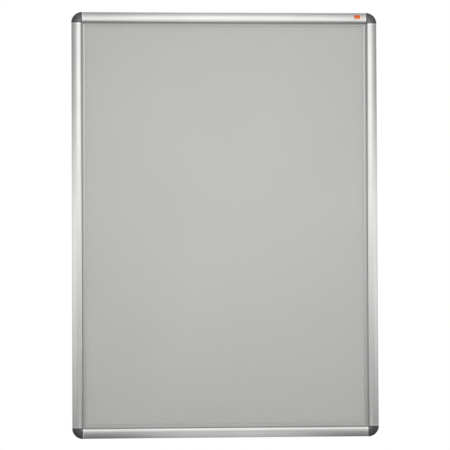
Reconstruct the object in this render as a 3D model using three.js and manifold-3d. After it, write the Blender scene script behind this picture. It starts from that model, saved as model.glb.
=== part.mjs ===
// Front opening poster frame in snap profile, portrait, with rounded moulded corners.
// Four base rails and four corner blocks make the ring that stands on the wall.
// They carry the back panel and the clear cover sheet, and the poster goes between the two.
// Four snap rails turn on beads along the outer edges of the base rails, held open or shut by leaf springs.
// Millimetres, +Z up, the front faces -Y, and the origin is the middle of the wall plane behind the frame.

import * as THREE from 'three';
import { mergeVertices } from 'three/addons/utils/BufferGeometryUtils.js';
import Module from 'manifold-3d';

const wasm = await Module();
wasm.setup();

// Driving dimensions: the poster, and how far the frame goes past it and over it
const posterWidth = 594;
const posterHeight = 841;
const frameBorder = 21.5;
const posterCover = 7;
const frameDepth = 14;
const cornerSize = 22.5;

// Clearances
const fitGap = 0.3;
const endGap = 0.4;
const socketGap = 0.25;
const overrun = 5;

// Base rail: web on the wall, hinge bead on its neck, channel for the corner legs, stop for the sheets
const webThickness = 1.4;
const ledgeSetback = 0.5;
const hingeInset = 3.4;
const hingeRise = 3.8;
const beadRadius = 2;
const neckThickness = 1.2;
const ribThickness = 0.8;
const stopThickness = 1.2;
const stopRise = 1.4;
const channelLip = 0.5;
const channelLipThickness = 0.7;
const noseReach = 0.25;
const noseHeight = 0.3;

// Sheets
const panelThickness = 1.5;
const coverThickness = 0.5;
const sheetOverhang = 1;

// Snap rail: socket round the bead, dome, groove and lip
const socketWall = 1.1;
const socketStart = THREE.MathUtils.degToRad(-67);
const socketEnd = THREE.MathUtils.degToRad(142);
const socketRoot = THREE.MathUtils.degToRad(75);
const lugStart = THREE.MathUtils.degToRad(-28);
const railWall = 1.2;
const domeInset = 0.4;
const domeFootRise = 1.8;
const crestInset = 12.5;
const stepInset = 21.4;
const grooveReach = 5.4;
const grooveShare = 0.585;
const lipRise = 0.3;
const domeRootTurn = THREE.MathUtils.degToRad(150);

// Leaf spring between the stop of the base rail and the lug of the snap rail
const springThickness = 0.5;
const springWidth = 16;
const springRise = 3.7;
const pocketReach = 3.55;
const pocketDrop = 2.35;
const seatSetback = 0.5;
const seatRise = 0.5;
const lugWall = 0.45;
const lugNose = 0.4;
const shortRailSpringCount = 2;
const longRailSpringCount = 3;

// Corner block and the screws in its legs
const blockHeight = 5;
const legWidth = 8;
const legThickness = 1.3;
const legLength = 35;
const legRoot = 4;
const legScrewRadius = 1.5;
const legScrewHeight = 1.7;
const legScrewSocketRadius = 0.85;
const legScrewSocketDepth = 0.9;
const legScrewSetback = 12;
const wallScrewInset = 12.5;
const wallScrewRadius = 2.1;
const wallScrewHeadRadius = 4;
const wallScrewHeadDepth = 2;
const wallScrewFaceDepth = 0.4;
const pegNear = 7.6;
const pegFar = 17.6;

// Corner cap
const capProud = 0.4;
const capWall = 1.7;
const capShadowGap = 0.6;
const postRadius = 3.2;
const pegRadius = 1.45;

// Plain badge on the top rail
const badgeThickness = 0.5;
const badgeInset = 5.9;
const badgeFarInset = 13.7;
const badgeLength = 12.2;
const badgeSetback = 35.2;

// Counts of facets
const roundSteps = 20;
const domeSteps = 12;
const smallSteps = 6;
const screwSteps = 12;
const hexSides = 6;
const turnSteps = 48;

// Sizes that follow from the ones above
const frameWidth = posterWidth + frameBorder + frameBorder;
const frameHeight = posterHeight + frameBorder + frameBorder;
const railWidth = frameBorder + posterCover;
const sheetInset = frameBorder - sheetOverhang;
const stopInner = sheetInset - fitGap;
const stopOuter = stopInner - stopThickness;
const legInner = stopOuter - fitGap;
const legOuter = legInner - legWidth;
const ribInner = legOuter - fitGap;
const legBottom = webThickness + fitGap;
const legTop = legBottom + legThickness;
const channelTop = legTop + fitGap;
const channelLipTop = channelTop + channelLipThickness;
const stopHeight = channelLipTop + stopRise;
const hingeHeight = webThickness + hingeRise;
const domeFoot = hingeHeight + domeFootRise;
const panelBottom = webThickness + fitGap;
const coverBottom = panelBottom + panelThickness + fitGap;
const sheetTop = coverBottom + coverThickness;
const lipBottom = sheetTop + fitGap;
const socketInnerRadius = beadRadius + socketGap;
const socketOuterRadius = socketInnerRadius + socketWall;
const lipTop = lipBottom + lipRise + railWall;
const grooveRise = grooveShare * (frameDepth - lipTop);
const stepTop = lipTop + grooveRise;
const pocket = new THREE.Vector2(hingeInset + pocketReach, hingeHeight - pocketDrop);
const seat = new THREE.Vector2(stopOuter - seatSetback, channelLipTop + seatRise);

// Materials
const finish = (color, roughness, metalness) =>
  new THREE.MeshStandardMaterial({ color, roughness, metalness });
const aluminium = finish(0xc9cac9, 0.38, 1);
const darkPlastic = finish(0x4b4b50, 0.6, 0);
const panelPlastic = finish(0xb4b5b0, 0.7, 0);
const springSteel = finish(0x9a9ca0, 0.3, 1);
const screwSteel = finish(0x6f7276, 0.4, 1);
const badgePlastic = finish(0xe05a12, 0.3, 0);
const clearSheet = finish(0xe4e8e6, 0.45, 0);
clearSheet.transparent = true;
clearSheet.opacity = 0.3;

// A closed three.js geometry as a solid, and a solid as a geometry
function toSolid(geometry) {
  geometry.deleteAttribute('normal');
  geometry.deleteAttribute('uv');
  const merged = mergeVertices(geometry);
  const vertProperties = new Float32Array(merged.attributes.position.array);
  const triVerts = new Uint32Array(merged.index.array);
  return new wasm.Manifold(new wasm.Mesh({ numProp: 3, vertProperties, triVerts }));
}

function toGeometry(solid) {
  const mesh = solid.getMesh();
  const geometry = new THREE.BufferGeometry();
  geometry.setAttribute('position', new THREE.BufferAttribute(mesh.vertProperties, 3));
  geometry.setIndex(new THREE.BufferAttribute(mesh.triVerts, 1));
  geometry.computeVertexNormals();
  return geometry;
}

// Points on a circle or an ellipse, from one angle to another in either sense
function arc(centre, reachX, reachY, from, to, steps) {
  return Array.from({ length: steps + 1 }, (_, i) => {
    const turn = THREE.MathUtils.lerp(from, to, i / steps);
    return new THREE.Vector2(centre.x + reachX * Math.cos(turn), centre.y + reachY * Math.sin(turn));
  });
}

const point = (x, y) => new THREE.Vector2(x, y);

const polar = (centre, radius, turn) =>
  point(centre.x + radius * Math.cos(turn), centre.y + radius * Math.sin(turn));

function prism(points, from, to) {
  const geometry = new THREE.ExtrudeGeometry(new THREE.Shape(points), {
    depth: to - from,
    bevelEnabled: false,
  });
  return geometry.translate(0, 0, from);
}

const disc = (centre, radius, from, to, steps = roundSteps) =>
  prism(arc(centre, radius, radius, 0, 2 * Math.PI, steps).slice(0, steps), from, to);

const slab = (low, high, from, to) =>
  prism([point(low.x, low.y), point(high.x, low.y), point(high.x, high.y), point(low.x, high.y)], from, to);

// Turned shape about the third axis, through a centre in the plane of the first two
function turned(profile, centre, steps) {
  const geometry = new THREE.LatheGeometry(profile, steps);
  return geometry.rotateX(Math.PI / 2).translate(centre.x, centre.y, 0);
}

function add(parent, name, geometry, material) {
  const mesh = new THREE.Mesh(geometry, material);
  mesh.name = name;
  parent.add(mesh);
  return mesh;
}

// Rail sections, with x as the distance in from the outer edge and y as the height off the wall
function baseSection() {
  const bead = point(hingeInset, hingeHeight);
  const neckHalf = neckThickness / 2;
  const neckTurn = Math.asin(neckHalf / beadRadius);
  const down = -Math.PI / 2;
  return [
    point(hingeInset - neckHalf, 0),
    ...arc(bead, beadRadius, beadRadius, down - neckTurn, down - 2 * Math.PI + neckTurn, roundSteps),
    point(hingeInset + neckHalf, webThickness),
    point(ribInner - ribThickness, webThickness),
    point(ribInner - ribThickness, channelLipTop),
    point(ribInner + channelLip, channelLipTop),
    point(ribInner + channelLip, channelTop),
    point(ribInner, channelTop),
    point(ribInner, webThickness),
    point(stopOuter, webThickness),
    point(stopOuter, channelTop),
    point(stopOuter - channelLip, channelTop),
    point(stopOuter - channelLip, channelLipTop),
    point(stopOuter, channelLipTop),
    point(stopOuter, stopHeight - noseHeight),
    point(stopOuter - noseReach, stopHeight - noseHeight),
    point(stopOuter - noseReach, stopHeight),
    point(stopInner, stopHeight),
    point(stopInner, webThickness),
    point(railWidth - ledgeSetback, webThickness),
    point(railWidth - ledgeSetback, 0),
  ];
}

function snapSection() {
  const hinge = point(hingeInset, hingeHeight);
  const outerDome = point(crestInset, domeFoot);
  const outerReach = crestInset - domeInset;
  const outerRise = frameDepth - domeFoot;
  const innerDome = point(crestInset, stepTop);
  const innerReach = stepInset - crestInset;
  const innerRise = frameDepth - stepTop;
  const groove = point(stepInset + grooveReach, stepTop);
  const underReach = grooveReach + railWall;
  const underRise = grooveRise + railWall;
  const tipRadius = railWall / 2;
  const tip = point(railWidth - tipRadius, lipBottom + tipRadius);
  const pocketHalf = springThickness / 2 + fitGap;
  const lugFloor = pocket.y - pocketHalf;
  const up = Math.PI / 2;
  return [
    ...arc(hinge, socketInnerRadius, socketInnerRadius, socketStart, socketEnd, roundSteps),
    ...arc(outerDome, outerReach, outerRise, Math.PI, up, domeSteps),
    ...arc(innerDome, innerReach, innerRise, up, 0, domeSteps).slice(1),
    ...arc(groove, grooveReach, grooveRise, Math.PI, Math.PI + up, domeSteps).slice(1),
    ...arc(tip, tipRadius, tipRadius, up, -up, smallSteps),
    ...arc(groove, underReach, underRise, Math.PI + up, Math.PI, domeSteps),
    ...arc(innerDome, innerReach - railWall, innerRise - railWall, 0, up, domeSteps).slice(1),
    ...arc(outerDome, outerReach - railWall, outerRise - railWall, up, domeRootTurn, domeSteps).slice(1),
    ...arc(hinge, socketOuterRadius, socketOuterRadius, socketRoot, lugStart, smallSteps),
    point(pocket.x - pocketHalf, pocket.y),
    point(pocket.x - pocketHalf, lugFloor),
    point(pocket.x + pocketHalf, lugFloor),
    point(pocket.x + pocketHalf, lugFloor + lugNose),
    point(pocket.x + pocketHalf + lugWall, lugFloor + lugNose),
    point(pocket.x + pocketHalf + lugWall, lugFloor - lugWall),
    polar(hinge, socketOuterRadius, socketStart),
  ];
}

// Bowed strip from its seat in the base rail to its pocket in the snap rail
function springSection() {
  const chord = seat.clone().sub(pocket);
  const halfChord = chord.length() / 2;
  const radius = (halfChord * halfChord + springRise * springRise) / (2 * springRise);
  const bowSide = point(-chord.y, chord.x).normalize();
  const centre = pocket.clone().add(seat).divideScalar(2).addScaledVector(bowSide, springRise - radius);
  const atPocket = pocket.clone().sub(centre).angle();
  const atSeat = seat.clone().sub(centre).angle();
  const outer = radius + springThickness / 2;
  const inner = radius - springThickness / 2;
  return [
    ...arc(centre, outer, outer, atPocket, atSeat, smallSteps),
    ...arc(centre, inner, inner, atSeat, atPocket, smallSteps),
  ];
}

// Rail with square ends beside the corners and mitred ends where two rails' inner parts meet
function rail(section, length) {
  const half = length / 2;
  const squareEnd = half - cornerSize - endGap;
  const mitreGap = endGap / Math.SQRT2;
  const mitreStart = cornerSize + endGap - mitreGap;
  const past = railWidth + overrun;
  const mitreEnd = half - past - mitreGap;
  const plan = [
    point(-squareEnd, -overrun),
    point(squareEnd, -overrun),
    point(squareEnd, mitreStart),
    point(mitreEnd, past),
    point(-mitreEnd, past),
    point(-squareEnd, mitreStart),
  ];
  const alongLengthAndInward = new THREE.Matrix4().makeBasis(
    new THREE.Vector3(0, 0, 1),
    new THREE.Vector3(1, 0, 0),
    new THREE.Vector3(0, 1, 0),
  );
  const trim = prism(plan, -overrun, frameDepth + overrun).applyMatrix4(alongLengthAndInward);
  const bar = prism(section, -half, half);
  return toGeometry(toSolid(bar).intersect(toSolid(trim)));
}

function leafSpring(place) {
  return prism(springSection(), place - springWidth / 2, place + springWidth / 2);
}

// Corner pieces, with x and y as the distances in from the two outer edges and z as the height off the wall
const cornerCentre = point(cornerSize, cornerSize);

function legScrewPlaces() {
  const along = cornerSize + legLength - legScrewSetback;
  const across = (legInner + legOuter) / 2;
  return { x: point(along, across), z: point(across, along) };
}

function cornerBlock() {
  const radius = cornerSize - capWall - fitGap;
  const rim = arc(cornerCentre, radius, radius, Math.PI + Math.PI / 2, Math.PI, roundSteps);
  const floor = prism([...rim, cornerCentre], 0, webThickness);
  const sheetNotch = [
    point(stopInner, cornerSize),
    point(stopInner, stopInner),
    point(cornerSize, stopInner),
  ];
  const body = prism([...rim, ...sheetNotch], 0, blockHeight);
  const legEnd = cornerSize + legLength;
  const legStart = cornerSize - legRoot;
  const legX = slab(point(legStart, legOuter), point(legEnd, legInner), legBottom, legTop);
  const legZ = slab(point(legOuter, legStart), point(legInner, legEnd), legBottom, legTop);
  let solid = toSolid(body).add(toSolid(floor)).add(toSolid(legX)).add(toSolid(legZ));
  for (const place of Object.values(legScrewPlaces())) {
    solid = solid.subtract(toSolid(disc(place, legScrewRadius + fitGap, -overrun, blockHeight)));
  }
  for (const place of pegPlaces()) {
    solid = solid.subtract(toSolid(disc(place, pegRadius + fitGap, webThickness, blockHeight + overrun)));
  }
  const wallHole = [
    point(0, -overrun),
    point(wallScrewRadius, -overrun),
    point(wallScrewRadius, blockHeight - wallScrewFaceDepth - wallScrewHeadDepth),
    point(wallScrewHeadRadius, blockHeight - wallScrewFaceDepth),
    point(wallScrewHeadRadius, blockHeight + overrun),
    point(0, blockHeight + overrun),
  ];
  const wallScrew = point(wallScrewInset, wallScrewInset);
  return toGeometry(solid.subtract(toSolid(turned(wallHole, wallScrew, roundSteps))));
}

function pegPlaces() {
  return [point(pegNear, pegFar), point(pegFar, pegNear)];
}

// Half section of the cap's dome, which carries the section of the snap rails round the corner
function domeProfile(wall, foot) {
  const crestRadius = cornerSize - crestInset;
  const outerDome = point(crestRadius, domeFoot);
  const innerDome = point(crestRadius, stepTop);
  const innerReach = stepInset + capProud - crestInset - wall;
  const crest = frameDepth + capProud - wall;
  const up = Math.PI / 2;
  return [
    point(0, foot),
    point(cornerSize - wall, foot),
    ...arc(outerDome, crestInset - wall, crest - domeFoot, 0, up, domeSteps),
    ...arc(innerDome, innerReach, crest - stepTop, up, Math.PI, domeSteps).slice(1),
    point(0, stepTop - wall),
  ];
}

function cornerCap() {
  const outer = toSolid(turned(domeProfile(0, capShadowGap), cornerCentre, turnSteps));
  const inner = toSolid(turned(domeProfile(capWall, capShadowGap - overrun), cornerCentre, turnSteps));
  const crown = frameDepth + overrun;
  const post = toSolid(disc(cornerCentre, postRadius, blockHeight + fitGap, crown));
  let inside = post;
  for (const place of pegPlaces()) {
    inside = inside.add(toSolid(disc(place, pegRadius, legBottom, crown)));
  }
  const quarter = toSolid(slab(point(-overrun, -overrun), cornerCentre, -overrun, crown));
  return toGeometry(outer.subtract(inner).add(inside.intersect(outer)).intersect(quarter));
}

function legScrew(place) {
  const bottom = webThickness + fitGap;
  const top = bottom + legScrewHeight;
  const shank = toSolid(disc(place, legScrewRadius, bottom, top, screwSteps));
  const socket = disc(place, legScrewSocketRadius, top - legScrewSocketDepth, top + overrun, hexSides);
  return toGeometry(shank.subtract(toSolid(socket)));
}

// Plain badge that follows the front of the top rail's dome, across its crest
function badge() {
  const outerDome = point(crestInset, domeFoot);
  const innerDome = point(crestInset, stepTop);
  const outer = point(crestInset - domeInset + fitGap, frameDepth - domeFoot + fitGap);
  const inner = point(stepInset - crestInset + fitGap, frameDepth - stepTop + fitGap);
  const outerTop = point(outer.x + badgeThickness, outer.y + badgeThickness);
  const innerTop = point(inner.x + badgeThickness, inner.y + badgeThickness);
  const up = Math.PI / 2;
  const near = Math.PI - Math.acos((crestInset - badgeInset) / outer.x);
  const far = Math.acos((badgeFarInset - crestInset) / inner.x);
  const section = [
    ...arc(outerDome, outerTop.x, outerTop.y, near, up, domeSteps),
    ...arc(innerDome, innerTop.x, innerTop.y, up, far, smallSteps).slice(1),
    ...arc(innerDome, inner.x, inner.y, far, up, smallSteps),
    ...arc(outerDome, outer.x, outer.y, up, near, domeSteps).slice(1),
  ];
  const start = -frameWidth / 2 + badgeSetback;
  return prism(section, start, start + badgeLength);
}

const sheet = (from, to) => {
  const half = point(frameWidth / 2 - sheetInset, frameHeight / 2 - sheetInset);
  return slab(half.clone().negate(), half, from, to).rotateX(Math.PI / 2);
};

// The assembly: a group for each side and each corner, turned to its place on the wall plane
const frame = new THREE.Group();
const toFront = new THREE.Vector3(0, -1, 0);

function place(first, second, origin) {
  const group = new THREE.Group();
  group.applyMatrix4(new THREE.Matrix4().makeBasis(first, second, first.clone().cross(second)));
  group.position.copy(origin);
  frame.add(group);
  return group;
}

const sides = [
  { name: 'bottom', inward: new THREE.Vector3(0, 0, 1), length: frameWidth, across: frameHeight },
  { name: 'top', inward: new THREE.Vector3(0, 0, -1), length: frameWidth, across: frameHeight },
  { name: 'left', inward: new THREE.Vector3(1, 0, 0), length: frameHeight, across: frameWidth },
  { name: 'right', inward: new THREE.Vector3(-1, 0, 0), length: frameHeight, across: frameWidth },
];

for (const { name, inward, length, across } of sides) {
  const side = place(inward, toFront, inward.clone().multiplyScalar(-across / 2));
  add(side, `base_rail_${name}`, rail(baseSection(), length), aluminium);
  add(side, `snap_rail_${name}`, rail(snapSection(), length), aluminium);
  const springs = length > frameWidth ? longRailSpringCount : shortRailSpringCount;
  for (let i = 0; i < springs; i += 1) {
    const along = ((i + 1) / (springs + 1)) * length - length / 2;
    add(side, `leaf_spring_${name}_${i + 1}`, leafSpring(along), springSteel);
  }
  if (name === 'top') {
    add(side, 'badge_plain', badge(), badgePlastic);
  }
}

const corners = [
  { name: 'bottom_left', x: 1, z: 1 },
  { name: 'bottom_right', x: -1, z: 1 },
  { name: 'top_left', x: 1, z: -1 },
  { name: 'top_right', x: -1, z: -1 },
];

for (const { name, x, z } of corners) {
  const inX = new THREE.Vector3(x, 0, 0);
  const inZ = new THREE.Vector3(0, 0, z);
  const origin = new THREE.Vector3((-x * frameWidth) / 2, 0, (-z * frameHeight) / 2);
  const turnsRight = inX.clone().cross(inZ).dot(toFront) > 0;
  const corner = turnsRight ? place(inX, inZ, origin) : place(inZ, inX, origin);
  add(corner, `corner_block_${name}`, cornerBlock(), darkPlastic);
  add(corner, `corner_cap_${name}`, cornerCap(), darkPlastic);
  const screws = legScrewPlaces();
  const [rowScrew, postScrew] = turnsRight ? [screws.x, screws.z] : [screws.z, screws.x];
  add(corner, `leg_screw_${name}_row`, legScrew(rowScrew), screwSteel);
  add(corner, `leg_screw_${name}_upright`, legScrew(postScrew), screwSteel);
}

add(frame, 'back_panel', sheet(panelBottom, panelBottom + panelThickness), panelPlastic);
add(frame, 'cover_sheet', sheet(coverBottom, sheetTop), clearSheet);

export default frame;
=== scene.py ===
"""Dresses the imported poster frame: fine rails, corner caps, sheets, springs and a badge over the
CAD, and a studio around it.

Everything is in metres in the CAD's frame: X to the right, Z up, the front faces -Y and the wall
plane is y = 0. A section is written as (inward, height): the distance in from the frame's outer
edge, and off the wall.
"""

import math

import bmesh
import bpy
import numpy as np
from bpy.props import FloatProperty, FloatVectorProperty, IntProperty, PointerProperty
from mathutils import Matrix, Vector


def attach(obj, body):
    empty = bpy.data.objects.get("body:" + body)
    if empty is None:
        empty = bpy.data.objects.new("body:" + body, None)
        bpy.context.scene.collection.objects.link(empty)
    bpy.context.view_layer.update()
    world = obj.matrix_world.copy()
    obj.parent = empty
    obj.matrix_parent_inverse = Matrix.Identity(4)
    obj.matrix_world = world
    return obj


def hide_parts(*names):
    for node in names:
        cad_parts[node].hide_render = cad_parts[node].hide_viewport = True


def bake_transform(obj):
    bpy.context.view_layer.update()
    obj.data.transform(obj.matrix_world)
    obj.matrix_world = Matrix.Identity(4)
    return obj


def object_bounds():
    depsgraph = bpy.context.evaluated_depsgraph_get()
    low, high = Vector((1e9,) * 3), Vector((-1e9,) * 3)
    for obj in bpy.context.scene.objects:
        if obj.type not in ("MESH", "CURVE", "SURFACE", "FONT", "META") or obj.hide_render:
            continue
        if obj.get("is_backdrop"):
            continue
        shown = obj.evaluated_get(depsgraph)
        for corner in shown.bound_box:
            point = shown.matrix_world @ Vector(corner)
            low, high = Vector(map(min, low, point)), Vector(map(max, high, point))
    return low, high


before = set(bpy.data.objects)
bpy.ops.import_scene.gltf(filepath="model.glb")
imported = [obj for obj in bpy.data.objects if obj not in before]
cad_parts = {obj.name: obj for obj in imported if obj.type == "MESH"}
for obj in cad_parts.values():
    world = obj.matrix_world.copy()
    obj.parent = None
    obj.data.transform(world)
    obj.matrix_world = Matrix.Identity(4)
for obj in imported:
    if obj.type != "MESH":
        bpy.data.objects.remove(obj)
cad_low, cad_high = (list(corner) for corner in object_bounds())

bl_info = {
    "name": "Front opening poster frame",
    "version": (1, 0, 0),
    "blender": (4, 5, 0),
    "location": "3D View > Sidebar > Poster Frame",
    "description": "Builds a snap profile poster frame with moulded corners and its studio",
    "category": "Object",
}

MM = 0.001
SIDE_INWARD = {"bottom": (0, 0, 1), "top": (0, 0, -1), "left": (1, 0, 0), "right": (-1, 0, 0)}
CORNER_INWARD = {
    "bottom_left": (1, 1),
    "bottom_right": (-1, 1),
    "top_left": (1, -1),
    "top_right": (-1, -1),
}
FRONT = np.array((0.0, -1.0, 0.0))

# Lengths from here to the property groups are in millimetres, the same as the CAD's

# Hinge: the base rail's bead and the snap rail's socket about it, with turns in degrees
HINGE = (3.4, 5.2)
BEAD_RADIUS = 2.0
NECK_HALF = 0.6
SOCKET_RADII = (2.25, 3.35)
SOCKET_TURNS = (-67, 142)
SOCKET_BACK_TURNS = (75, -28)
DOME_ROOT_TURN = 150

# Snap rail: lug behind the dome, dome, groove and lip
LUG = ((6.4, 2.85), (6.4, 2.3), (7.5, 2.3), (7.5, 2.7), (7.95, 2.7), (7.95, 1.85))
DOME_FOOT = 7.0
DOME_INSET = 0.4
CREST_INSET = 12.5
STEP_INSET = 21.4
GROOVE_REACH = 5.4
GROOVE_SHARE = 0.585
LIP_BOTTOM = 4.3
LIP_TOP = 5.8

# Share of painted shade by distance in, for the groove and the lip. The lying rails get more of it,
# out to the lip, and it falls at the lip's tip, which is painted lighter against the shadow line
# there.
UPRIGHT_GROOVE_SHADE = ((21.3, 0.0), (21.9, 0.75), (23.4, 0.75), (25.2, 0.62), (27.7, 0.62), (28.2, 0.15))
LYING_GROOVE_SHADE = ((21.3, 0.0), (21.9, 0.75), (25.2, 0.76), (27.7, 0.8), (28.2, 0.48))

# Base rail from the neck to the ledge under the back panel. The ledge counts from the rail's width.
BASE_TOP = (
    (4.0, 1.4), (9.6, 1.4), (9.6, 4.0), (10.9, 4.0), (10.9, 3.3), (10.4, 3.3), (10.4, 1.4),
    (19.0, 1.4), (19.0, 3.3), (18.5, 3.3), (18.5, 4.0), (19.0, 4.0), (19.0, 5.1), (18.75, 5.1),
    (18.75, 5.4), (20.2, 5.4), (20.2, 1.4),
)  # fmt: skip
LEDGE = ((1.4, -0.5), (0.0, -0.5))

# Rail ends: the gap to a cap or another rail, and rows of points along as shares of half a length
END_GAP = 0.4
STATION_SHARES = (-1, -0.99, -0.5, 0, 0.5, 0.99, 1)

# Corner cap, with its post and two pegs
CAP_FOOT = 0.6
CAP_STEPS = 36
POST_BOTTOM = 5.3
POST_RADIUS = 3.2
PEG_RADIUS = 1.45
PEG_BOTTOM = 1.7
PEG_TOP = 12.6
PEG_NOSE = 0.4
PEG_STEPS = 24
PEG_PLACES = ((7.6, 17.6), (17.6, 7.6))

# Leaf spring. Up to the first point of its lift it stays with the base rail, and past the second
# it turns with its snap rail.
SPRING_POCKET = (6.95, 2.85)
SPRING_SEAT = (18.5, 4.5)
SPRING_RISE = 3.7
SPRING_THICKNESS = 0.5
SPRING_ROUNDING = 0.25
SPRING_CELLS = (6, 30)
SPRING_CORNER_PULL = 0.01

# Sheets: inset of their rim, and each one's two faces off the wall
SHEET_INSET = 20.5
SHEET_CELLS = (24, 34)
PANEL_SPAN = (1.7, 3.2)
COVER_SPAN = (3.5, 4.0)

# Badge, with its two long edges' distances in from the outer edge
BADGE_GAP = 0.3
BADGE_THICKNESS = 0.5
BADGE_ROUNDING = 0.3
BADGE_CELLS = (20, 16)
BADGE_CORNER_PULL = 0.03
BADGE_INSETS = (5.9, 13.7)

# A plate's rows of points inside its rim, as shares of the rounding, and its corners' power
RIM_SHARES = (0, 0.03, 0.12, 0.3, 0.6, 1.0)
CORNER_POWER = 12

# Mesh finish: distances that count as one point, and angles in degrees that count as sharp
MERGE_DISTANCE = 0.002
SAME_PLACE = 1e-6
SHARP_ANGLE = 35
BEVEL_ANGLE = 50
BEVEL_SEGMENTS = 2

# The UV map of each new surface, which runs across it and along it
SURFACE_UV = "across_along"


def linear(code):
    """Turns an sRGB hex colour into linear red, green, blue and alpha."""
    values = np.array([int(code[i : i + 2], 16) for i in (1, 3, 5)]) / 255
    return (*np.where(values <= 0.04045, values / 12.92, ((values + 0.055) / 1.055) ** 2.4), 1.0)


def length_value(name, description, default):
    """A length property. Its default is in metres."""
    return FloatProperty(name=name, description=description, default=default, unit="LENGTH")


class PosterFrameSizes(bpy.types.PropertyGroup):
    """Sizes that a user would change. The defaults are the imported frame's."""

    width: length_value("Width", "Outside width of the frame", cad_high[0] - cad_low[0])
    height: length_value("Height", "Outside height of the frame", cad_high[2] - cad_low[2])
    depth: length_value("Rail depth", "From the wall to the crest of the snap rails", 14 * MM)
    rail_width: length_value("Rail width", "From the outer edge to the tip of the lip", 28.5 * MM)
    rail_wall: length_value("Rail wall", "Wall thickness of the snap rails", 1.2 * MM)
    corner: length_value("Corner size", "Radius of the corner caps seen from the front", 22.5 * MM)
    cap_wall: length_value("Cap wall", "Wall thickness of the corner caps", 1.7 * MM)
    cap_proud: length_value("Cap rise", "How far a cap stands proud of the rails", 0.4 * MM)
    edge_round: length_value(
        "Edge rounding", "Width of the small bevel on cut and moulded edges", 0.14 * MM
    )
    spring_width: length_value("Spring width", "Width of a leaf spring along the rail", 16 * MM)
    short_springs: IntProperty(
        name="Springs in a short rail",
        description="Leaf springs in the top and bottom rails",
        default=2,
        min=1,
    )
    long_springs: IntProperty(
        name="Springs in a long rail",
        description="Leaf springs in the left and right rails",
        default=3,
        min=1,
    )
    badge_length: length_value(
        "Badge length", "Length of the plain badge along the top rail", 12.2 * MM
    )
    badge_setback: length_value(
        "Badge setback", "From the right outer edge of the frame to the badge", 35.2 * MM
    )


def colour_value(name, description, code):
    """A colour property with its default written as an sRGB hex value."""
    return FloatVectorProperty(
        name=name,
        description=description,
        default=linear(code),
        size=4,
        min=0,
        max=1,
        subtype="COLOR",
    )


class PosterFrameColours(bpy.types.PropertyGroup):
    """Colours that a user would change."""

    aluminium: colour_value("Aluminium", "Matt anodised aluminium of the rails", "#cdcecc")
    plastic: colour_value("Corner plastic", "Dark grey plastic of the caps and blocks", "#3a3a3f")
    panel: colour_value("Back panel", "Light grey plastic of the back panel", "#bcbab8")
    cover: colour_value("Cover sheet", "Tint of the matt clear cover sheet", "#c9cac8")
    spring: colour_value("Spring steel", "Rolled steel of the leaf springs", "#989ba0")
    screw: colour_value("Screw steel", "Zinc plated steel of the leg screws", "#8b8e93")
    straw: colour_value("Spring cast", "Straw cast of tempering on the springs", "#8f8674")
    badge: colour_value("Badge", "Plastic of the plain badge", "#d8540a")
    badge_light: colour_value("Badge, paler", "Paler tone of the badge's lower half", "#df7a3a")
    floor: colour_value("Floor", "Plain pale floor", "#e6e6e4")


# Materials


def set_sockets(node, values=None, links=None):
    """Sets a node's socket values and links. A link comes from an output, or from a node's first
    output in use."""
    for key, value in (values or {}).items():
        node.inputs[key].default_value = value
    for key, source in (links or {}).items():
        if isinstance(source, bpy.types.Node):
            source = next(output for output in source.outputs if output.enabled)
        node.id_data.links.new(source, node.inputs[key])


def add_node(tree, kind, values=None, links=None, stops=None, **settings):
    """Adds a node with its properties, socket values, links and grey colour stops."""
    node = tree.nodes.new(kind)
    for key, value in settings.items():
        setattr(node, key, value)
    set_sockets(node, values, links)
    if stops:
        elements = node.color_ramp.elements
        while len(elements) < len(stops):
            elements.new(1)
        for element, (position, value) in zip(elements, stops):
            element.position = position
            element.color = (value, value, value, 1)
    return node


def new_material(name):
    """A material, its node tree and its surface shader. The tree is None if it is already made."""
    known = bpy.data.materials.get(name)
    if known:
        return known, None, None
    material = bpy.data.materials.new(name)
    material.use_nodes = True
    tree = material.node_tree
    return material, tree, tree.nodes["Principled BSDF"]


def toned(colour, level):
    """The same colour with its light times a level: under 1 is darker, over 1 is paler."""
    return (*(channel * level for channel in colour[:3]), 1)


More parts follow.
